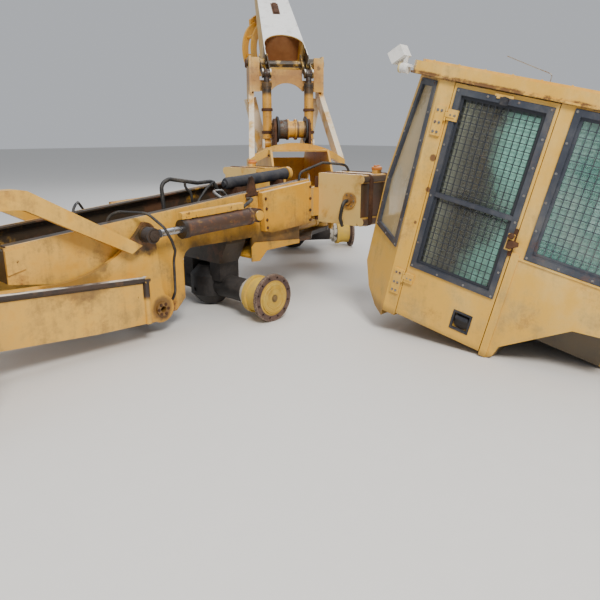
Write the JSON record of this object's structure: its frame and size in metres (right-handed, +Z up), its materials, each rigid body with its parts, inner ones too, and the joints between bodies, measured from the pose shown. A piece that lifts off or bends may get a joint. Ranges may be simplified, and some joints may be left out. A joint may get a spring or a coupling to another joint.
{
  "type": "skidder",
  "caption": "Articulated grapple skidder stripped to its chassis on bare hubs, with blade, winch, arch and boom, its cab set down beside it.",
  "frame": {"origin": "ground under the middle of the whole object's box", "axes": "+X runs rearwards along the front frame, -Y is the front frame's left side, +Z is up"},
  "size_m": [7.2473, 7.4293, 4.0523],
  "materials": {
    "yellow_paint": "worn",
    "white_worn_paint": "worn",
    "rusty_steel": "rough",
    "bare_steel": "worn",
    "dark_guard": "matte",
    "window_glass": "dusty",
    "dark_interior": "matte",
    "white_lamp": "satin"
  },
  "bodies": {
    "front_chassis": {"frame_plates": "yellow_paint", "frame_cross": "yellow_paint", "frame_hinge": "yellow_paint", "belly_guard": "yellow_paint", "front_axle": "rusty_steel", "gearbox": "rusty_steel", "tank_left": "yellow_paint", "tank_right": "yellow_paint", "cab_floor": "yellow_paint", "cab_side_right": "yellow_paint", "cab_side_left": "yellow_paint", "cab_rear": "yellow_paint", "cab_front": "yellow_paint", "cab_roof": "yellow_paint", "cab_glass": "window_glass", "cab_guards": "dark_guard", "cab_seat": "dark_interior", "cab_lamps": "white_lamp"},
    "front_hub_left": {"hub_front_left": "yellow_paint"},
    "front_hub_right": {"hub_front_right": "yellow_paint"},
    "rear_hub_left": {"hub_rear_left": "yellow_paint"},
    "rear_hub_right": {"hub_rear_right": "yellow_paint"},
    "blade": {"moldboard": "yellow_paint", "cutting_edge": "bare_steel", "blade_arm_left": "yellow_paint", "blade_arm_right": "yellow_paint"},
    "blade_barrel": {"blade_barrels": "yellow_paint"},
    "blade_rod": {"blade_rods": "bare_steel"},
    "rear_chassis": {"rear_frame": "yellow_paint", "rear_axle": "rusty_steel", "arch": "yellow_paint", "winch_case": "rusty_steel"},
    "drum": {"winch_drum": "yellow_paint"},
    "steer_barrel_l": {"steer_barrel_left": "yellow_paint"},
    "steer_rod_l": {"steer_rod_left": "bare_steel"},
    "steer_barrel_r": {"steer_barrel_right": "yellow_paint"},
    "steer_rod_r": {"steer_rod_right": "bare_steel"},
    "boom": {"boom": "white_worn_paint"},
    "boom_barrel": {"boom_barrels": "yellow_paint"},
    "boom_rod": {"boom_rods": "bare_steel"},
    "hanger": {"grapple_hanger": "yellow_paint"},
    "grapple": {"grapple_head": "yellow_paint"},
    "tong_l": {"tong_left": "yellow_paint"},
    "tong_r": {"tong_right": "yellow_paint"},
    "right_door": {"door_right": "yellow_paint", "door_right_glass": "dark_guard"},
    "left_door": {"door_left": "yellow_paint", "door_left_glass": "dark_guard"}
  },
  "joints": [
    {"name": "front_left_hub_spin", "type": "hinge", "parent": "front_chassis", "child": "front_hub_left", "pos_m": [-0.9182, -0.8, 0.205], "axis": [0, 1, 0], "continuous": true},
    {"name": "front_right_hub_spin", "type": "hinge", "parent": "front_chassis", "child": "front_hub_right", "pos_m": [-0.9182, 0.9, 0.205], "axis": [0, 1, 0], "continuous": true},
    {"name": "rear_left_hub_spin", "type": "hinge", "parent": "rear_chassis", "child": "rear_hub_left", "pos_m": [2.29809, 0.96616, 0.205], "axis": [-0.809, 0.5878, 0], "continuous": true},
    {"name": "rear_right_hub_spin", "type": "hinge", "parent": "rear_chassis", "child": "rear_hub_right", "pos_m": [0.92276, 1.9654, 0.205], "axis": [-0.809, 0.5878, 0], "continuous": true},
    {"name": "steering", "type": "hinge", "parent": "front_chassis", "child": "rear_chassis", "pos_m": [0.5818, 0.05, 0.755], "axis": [0, 0, 1], "range_deg": [-108, 0]},
    {"name": "steer_barrel_left_swing", "type": "hinge", "parent": "front_chassis", "child": "steer_barrel_l", "pos_m": [-0.2182, -0.25, 0.64], "axis": [0, 0, 1], "range_deg": [-30.36, 0.5]},
    {"name": "steer_rod_left_slide", "type": "slide", "parent": "steer_barrel_l", "child": "steer_rod_l", "axis": [0.9508, 0.3098, 0], "range_m": [-0.5355, 0.002]},
    {"name": "steer_barrel_right_swing", "type": "hinge", "parent": "front_chassis", "child": "steer_barrel_r", "pos_m": [-0.2182, 0.35, 0.64], "axis": [0, 0, 1], "range_deg": [-30.36, 0.5]},
    {"name": "steer_rod_right_slide", "type": "slide", "parent": "steer_barrel_r", "child": "steer_rod_r", "axis": [0.9788, 0.2046, 0], "range_m": [-0.002, 0.5355]},
    {"name": "blade_lift", "type": "hinge", "parent": "front_chassis", "child": "blade", "pos_m": [-1.7682, 0.05, 0.215], "axis": [0, 1, 0], "range_deg": [-3.5, 8]},
    {"name": "blade_barrel_swing", "type": "hinge", "parent": "front_chassis", "child": "blade_barrel", "pos_m": [-0.8182, 0.05, 0.87], "axis": [0, 1, 0], "range_deg": [-3, 3]},
    {"name": "blade_rod_slide", "type": "slide", "parent": "blade_barrel", "child": "blade_rod", "axis": [-0.9989, 0, -0.0476], "range_m": [-0.12, 0.06]},
    {"name": "winch_drum_spin", "type": "hinge", "parent": "rear_chassis", "child": "drum", "pos_m": [1.63981, 1.50623, 1.6], "axis": [-0.809, 0.5878, 0], "continuous": true},
    {"name": "boom_lift", "type": "hinge", "parent": "rear_chassis", "child": "boom", "pos_m": [1.9631, 1.95119, 2.48], "axis": [0.809, -0.5878, 0], "range_deg": [-60, 4]},
    {"name": "boom_barrel_swing", "type": "hinge", "parent": "rear_chassis", "child": "boom_barrel", "pos_m": [1.78676, 1.70848, 1.415], "axis": [0.809, -0.5878, 0], "range_deg": [-5, 5]},
    {"name": "boom_rod_slide", "type": "slide", "parent": "boom_barrel", "child": "boom_rod", "axis": [0.0193, 0.0265, 0.9995], "range_m": [-0.03, 0.32]},
    {"name": "grapple_hang", "type": "hinge", "parent": "boom", "child": "hanger", "pos_m": [3.08972, 3.50185, 3.92436], "axis": [0.809, -0.5878, 0], "range_deg": [-5, 61]},
    {"name": "grapple_turn", "type": "hinge", "parent": "hanger", "child": "grapple", "pos_m": [3.08972, 3.50185, 3.52436], "axis": [0, 0, 1], "range_deg": [-170, 170]},
    {"name": "tong_left_swing", "type": "hinge", "parent": "grapple", "child": "tong_l", "pos_m": [3.27738, 3.53158, 3.25436], "axis": [0.1564, -0.9877, 0], "range_deg": [-1, 43]},
    {"name": "tong_right_swing", "type": "hinge", "parent": "grapple", "child": "tong_r", "pos_m": [2.90206, 3.47213, 3.25436], "axis": [-0.1564, 0.9877, 0], "range_deg": [0, 42]},
    {"name": "right_door_swing", "type": "hinge", "parent": "front_chassis", "child": "right_door", "pos_m": [-0.52207, -1.95231, 1.04902], "axis": [-0.0188, 0.219, -0.9755], "range_deg": [0, 85]},
    {"name": "left_door_swing", "type": "hinge", "parent": "front_chassis", "child": "left_door", "pos_m": [0.75525, -1.84281, 1.04902], "axis": [0.0188, -0.219, 0.9755], "range_deg": [0, 85]}
  ],
  "couplings": [
    {"joint": "steer_barrel_left_swing", "follows": "steering", "ratio": 0.27644},
    {"joint": "steer_rod_left_slide", "follows": "steering", "m_per_rad": 0.28305},
    {"joint": "steer_barrel_right_swing", "follows": "steering", "ratio": 0.27644},
    {"joint": "steer_rod_right_slide", "follows": "steering", "m_per_rad": -0.28305},
    {"joint": "blade_barrel_swing", "follows": "blade_lift", "ratio": 0.045553},
    {"joint": "blade_rod_slide", "follows": "blade_lift", "m_per_rad": -0.6104},
    {"joint": "boom_barrel_swing", "follows": "boom_lift", "ratio": -0.015367},
    {"joint": "boom_rod_slide", "follows": "boom_lift", "m_per_rad": -0.29262},
    {"joint": "grapple_hang", "follows": "boom_lift", "ratio": -1},
    {"joint": "tong_left_swing", "follows": "tong_right_swing", "ratio": 1}
  ]
}
